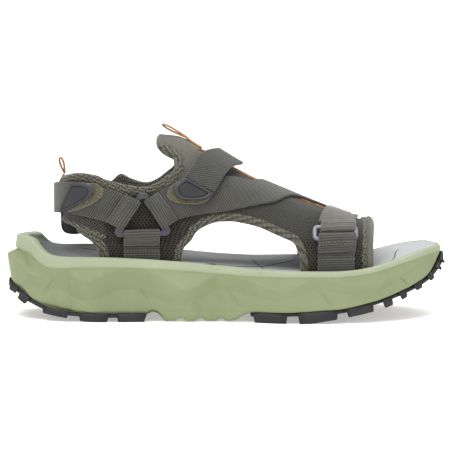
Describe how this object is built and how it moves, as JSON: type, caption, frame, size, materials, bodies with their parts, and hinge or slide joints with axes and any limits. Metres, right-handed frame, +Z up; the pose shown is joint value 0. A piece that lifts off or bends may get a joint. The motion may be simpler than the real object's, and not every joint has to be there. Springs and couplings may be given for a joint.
{
  "type": "sport sandal",
  "caption": "Right-foot strapped sport sandal with a thick foam midsole, rubber lugs, an open mesh upper, webbing straps through rings and peel-open strap ends.",
  "frame": {"origin": "on the ground, under the middle of the bounding box to within 1.7 mm, at the middle of the sole's length", "axes": "+X towards the toe, +Y towards the inner (medial) side, +Z up"},
  "size_m": [0.2996, 0.113, 0.1311],
  "materials": {
    "foam": "matt moulded foam, lighter at the rim",
    "outsole_rubber": "matt carbon rubber",
    "board": "pressed fibre",
    "footbed": "fine-textured foam with grooves",
    "knit": "padded knit",
    "binding": "padded knit with stitch holes",
    "mesh": "open air mesh",
    "tongue": "smooth laminated textile",
    "webbing": "ribbed polyester webbing",
    "loop_webbing": "brushed loop webbing",
    "ring": "satin moulded nylon",
    "toe_ring": "satin moulded nylon",
    "moulded_tab": "soft-touch moulded plastic",
    "hook_tape": "hook tape",
    "loop_tape": "brushed loop tape",
    "ribbon": "thin woven ribbon"
  },
  "bodies": {
    "sandal": {"midsole": "foam", "heel_outsole": "outsole_rubber", "forefoot_outsole": "outsole_rubber", "lasting_board": "board", "footbed": "footbed", "heel_band": "knit", "lateral_heel_seam": "binding", "medial_heel_seam": "binding", "lateral_quarter": "mesh", "medial_quarter": "mesh", "collar_binding": "binding", "vamp_panel": "mesh", "tongue": "tongue", "lateral_forefoot_panel": "mesh", "medial_forefoot_panel": "mesh", "toe_binding": "binding", "lateral_arch_binding": "binding", "medial_arch_binding": "binding", "lateral_tri_ring": "ring", "medial_tri_ring": "ring", "toe_ring": "toe_ring", "lateral_anchor_strap": "webbing", "medial_anchor_strap": "webbing", "lateral_heel_strap": "webbing", "cross_strap": "webbing", "instep_strap": "webbing", "instep_loop_patch": "loop_tape", "heel_wrap_strap": "webbing", "heel_loop_patch": "loop_tape", "toe_strap": "webbing", "toe_anchor_strap": "webbing", "toe_loop_patch": "loop_tape", "ridge_ribbon": "ribbon", "medial_heel_guard": "moulded_tab"},
    "instep_flap": {"instep_strap_end": "webbing", "instep_tab": "moulded_tab", "instep_hook_patch": "hook_tape"},
    "heel_flap": {"heel_strap_end": "webbing", "heel_tab": "moulded_tab", "heel_hook_patch": "hook_tape"},
    "toe_flap": {"toe_strap_flap": "loop_webbing", "toe_hook_patch": "hook_tape"},
    "heel_loop": {"heel_pull_loop": "ribbon"},
    "instep_loop": {"instep_pull_loop": "ribbon"}
  },
  "joints": [
    {"name": "instep_strap_peel", "type": "hinge", "parent": "sandal", "child": "instep_flap", "pos_m": [0.0033, 0, 0.1099], "axis": [-0.8578, 0, 0.5139], "range_deg": [0, 110]},
    {"name": "heel_strap_peel", "type": "hinge", "parent": "sandal", "child": "heel_flap", "pos_m": [-0.1149, -0.018, 0.084], "axis": [0, 0, -1], "range_deg": [0, 110]},
    {"name": "toe_strap_peel", "type": "hinge", "parent": "sandal", "child": "toe_flap", "pos_m": [0.07439, -0.03479, 0.06917], "axis": [0.955, 0.28, -0.098], "range_deg": [0, 110]},
    {"name": "heel_loop_flex", "type": "hinge", "parent": "sandal", "child": "heel_loop", "pos_m": [-0.1107, 0, 0.097], "axis": [0, 1, 0], "range_deg": [-35, 35], "stiffness_Nm_per_rad": 0.003},
    {"name": "instep_loop_flex", "type": "hinge", "parent": "sandal", "child": "instep_loop", "pos_m": [-0.0265, 0, 0.1215], "axis": [0, 1, 0], "range_deg": [0, 75], "stiffness_Nm_per_rad": 0.003}
  ]
}
